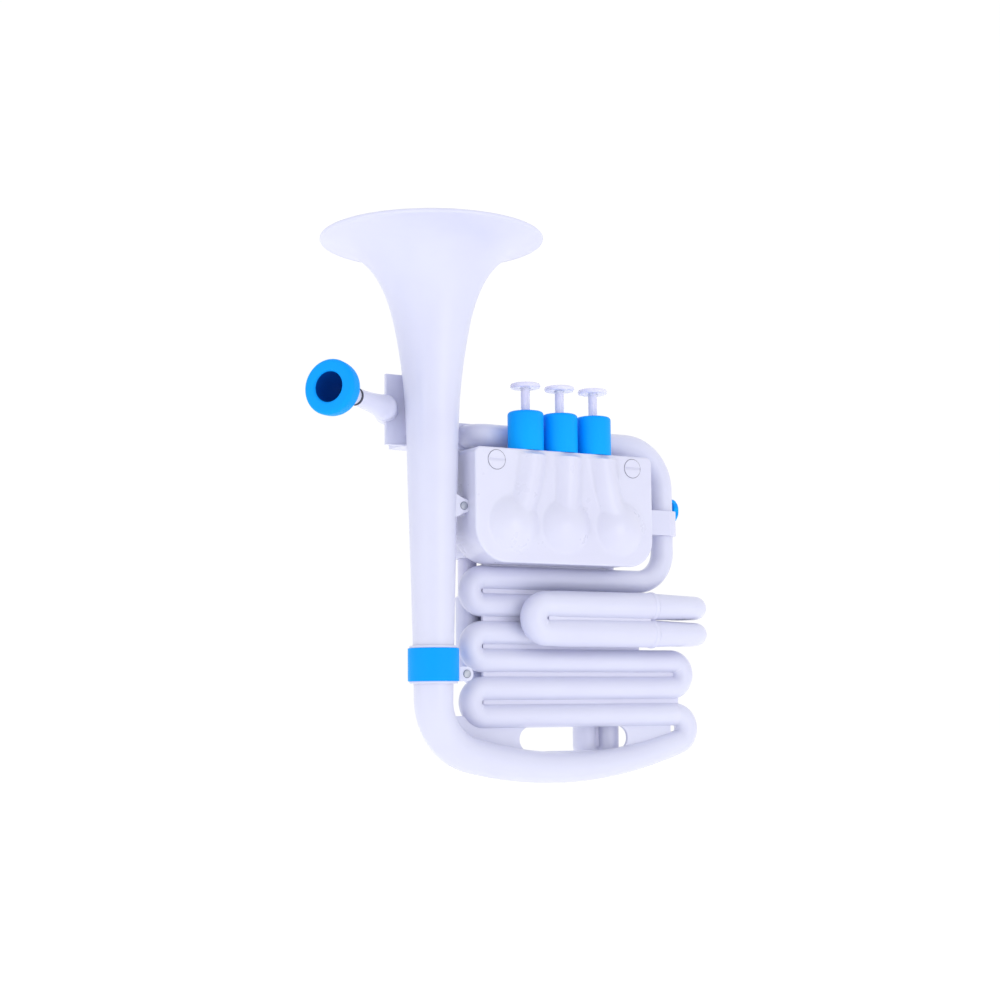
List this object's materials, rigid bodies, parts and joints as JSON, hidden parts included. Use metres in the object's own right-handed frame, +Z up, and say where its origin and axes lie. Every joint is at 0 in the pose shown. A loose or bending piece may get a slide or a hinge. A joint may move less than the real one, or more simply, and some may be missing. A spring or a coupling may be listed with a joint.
{
  "type": "three-valve upright plastic student horn",
  "caption": "Small moulded-plastic student horn with an upright bell, coiled tube body, push-button rotary valves, tuning slides and a swivelling leadpipe.",
  "frame": {"origin": "middle of the hand slot, in the middle plane of the tube stack", "axes": "+Z up along the bell axis to the bell mouth, +X along the tube stack away from the bell, +Y to the back of the horn"},
  "size_m": [0.3596, 0.1722, 0.4188],
  "materials": {
    "white_body": "satin gloss moulded white plastic",
    "azure_parts": "soft satin azure blue",
    "clear_white": "gloss, slightly milky white",
    "spring_steel": "drawn wire",
    "pin_steel": "grey ground end",
    "slide_legs": "polished white",
    "rotor_plastic": "polished acetal",
    "seal_rubber": "dull dark rubber",
    "screw_plastic": "moulded white screw with coin slot"
  },
  "bodies": {
    "body": {"bell": "white_body", "bell_joint_collar": "white_body", "bell_clamp_band": "azure_parts", "foot_lug": "white_body", "foot_lug_pin": "pin_steel", "bell_brace": "white_body", "bell_brace_pin": "pin_steel", "bell_saddle": "white_body", "bottom_bow": "white_body", "body_front_shell": "white_body", "body_rear_shell": "white_body", "top_tube": "white_body", "riser_clip": "white_body", "leadpipe_holder_plate": "white_body", "leadpipe_manifold": "white_body", "valve_feed_tubes": "white_body", "valve_casing": "white_body", "valve_cover": "white_body", "rotor_seals": "seal_rubber", "rear_slide_block": "white_body", "tuning_slide_legs": "slide_legs", "tuning_slide_seals": "seal_rubber", "upper_return_bend": "white_body", "lower_return_bend": "white_body", "valve_barrel_1": "azure_parts", "valve_spring_1": "spring_steel", "valve_slide_legs_1": "slide_legs", "valve_barrel_2": "azure_parts", "valve_spring_2": "spring_steel", "valve_slide_legs_2": "slide_legs", "valve_barrel_3": "azure_parts", "valve_spring_3": "spring_steel", "valve_slide_legs_3": "slide_legs"},
    "leadpipe": {"leadpipe": "white_body", "leadpipe_seal_ring": "seal_rubber"},
    "mouthpiece": {"mouthpiece_shank": "white_body", "mouthpiece_cup": "azure_parts"},
    "tuning_slide": {"tuning_slide": "white_body"},
    "cover_screw_left": {"cover_screw_left": "screw_plastic"},
    "cover_screw_right": {"cover_screw_right": "screw_plastic"},
    "lyre_thumb_screw": {"lyre_thumb_screw": "azure_parts"},
    "plunger_1": {"valve_stem_1": "clear_white", "valve_button_1": "clear_white", "valve_fork_1": "clear_white"},
    "rotor_1": {"valve_rotor_1": "rotor_plastic", "valve_crank_1": "rotor_plastic"},
    "valve_slide_1": {"valve_slide_1": "white_body"},
    "plunger_2": {"valve_stem_2": "clear_white", "valve_button_2": "clear_white", "valve_fork_2": "clear_white"},
    "rotor_2": {"valve_rotor_2": "rotor_plastic", "valve_crank_2": "rotor_plastic"},
    "valve_slide_2": {"valve_slide_2": "white_body"},
    "plunger_3": {"valve_stem_3": "clear_white", "valve_button_3": "clear_white", "valve_fork_3": "clear_white"},
    "rotor_3": {"valve_rotor_3": "rotor_plastic", "valve_crank_3": "rotor_plastic"},
    "valve_slide_3": {"valve_slide_3": "white_body"}
  },
  "joints": [
    {"name": "valve_press_1", "type": "slide", "parent": "body", "child": "plunger_1", "axis": [0, 0, -1], "range_m": [0, 0.013], "stiffness_N_per_m": 200, "springref_m": -0.008, "deforming": ["valve_spring_1"]},
    {"name": "rotor_turn_1", "type": "hinge", "parent": "body", "child": "rotor_1", "pos_m": [-0.0735, -0.014, 0.1635], "axis": [0, 1, 0], "range_deg": [0, 81.1]},
    {"name": "valve_press_2", "type": "slide", "parent": "body", "child": "plunger_2", "axis": [0, 0, -1], "range_m": [0, 0.013], "stiffness_N_per_m": 200, "springref_m": -0.008, "deforming": ["valve_spring_2"]},
    {"name": "rotor_turn_2", "type": "hinge", "parent": "body", "child": "rotor_2", "pos_m": [-0.027, -0.014, 0.1635], "axis": [0, 1, 0], "range_deg": [0, 81.1]},
    {"name": "valve_press_3", "type": "slide", "parent": "body", "child": "plunger_3", "axis": [0, 0, -1], "range_m": [0, 0.013], "stiffness_N_per_m": 200, "springref_m": -0.008, "deforming": ["valve_spring_3"]},
    {"name": "rotor_turn_3", "type": "hinge", "parent": "body", "child": "rotor_3", "pos_m": [0.0225, -0.014, 0.1635], "axis": [0, -1, 0], "range_deg": [0, 81.1]},
    {"name": "tuning_slide_pull", "type": "slide", "parent": "body", "child": "tuning_slide", "axis": [-1, 0, 0], "range_m": [0, 0.04]},
    {"name": "valve_slide_pull_1", "type": "slide", "parent": "body", "child": "valve_slide_1", "axis": [0, 0, -1], "range_m": [0, 0.04]},
    {"name": "valve_slide_pull_2", "type": "slide", "parent": "body", "child": "valve_slide_2", "axis": [0, 0, -1], "range_m": [0, 0.015]},
    {"name": "valve_slide_pull_3", "type": "slide", "parent": "body", "child": "valve_slide_3", "axis": [0, 0, -1], "range_m": [0, 0.04]},
    {"name": "leadpipe_swivel", "type": "hinge", "parent": "body", "child": "leadpipe", "pos_m": [-0.1631, 0.004, 0.2525], "axis": [0.5, 0.866, 0], "range_deg": [-30, 30]},
    {"name": "mouthpiece_pull", "type": "slide", "parent": "leadpipe", "child": "mouthpiece", "axis": [-0.8282, -0.5588, 0.0439], "range_m": [0, 0.02]},
    {"name": "cover_screw_turn_left", "type": "hinge", "parent": "body", "child": "cover_screw_left", "pos_m": [-0.0884, -0.037, 0.2119], "axis": [0, -1, 0], "range_deg": [0, 90]},
    {"name": "cover_screw_turn_right", "type": "hinge", "parent": "body", "child": "cover_screw_right", "pos_m": [0.035, -0.037, 0.2119], "axis": [0, -1, 0], "range_deg": [0, 90]},
    {"name": "lyre_thumb_screw_turn", "type": "hinge", "parent": "body", "child": "lyre_thumb_screw", "pos_m": [0.104, 0.0145, 0.186], "axis": [1, 0, 0], "continuous": true}
  ],
  "couplings": [
    {"joint": "rotor_turn_1", "follows": "valve_press_1", "rad_per_m": 108.85},
    {"joint": "rotor_turn_2", "follows": "valve_press_2", "rad_per_m": 108.85},
    {"joint": "rotor_turn_3", "follows": "valve_press_3", "rad_per_m": 108.85}
  ]
}
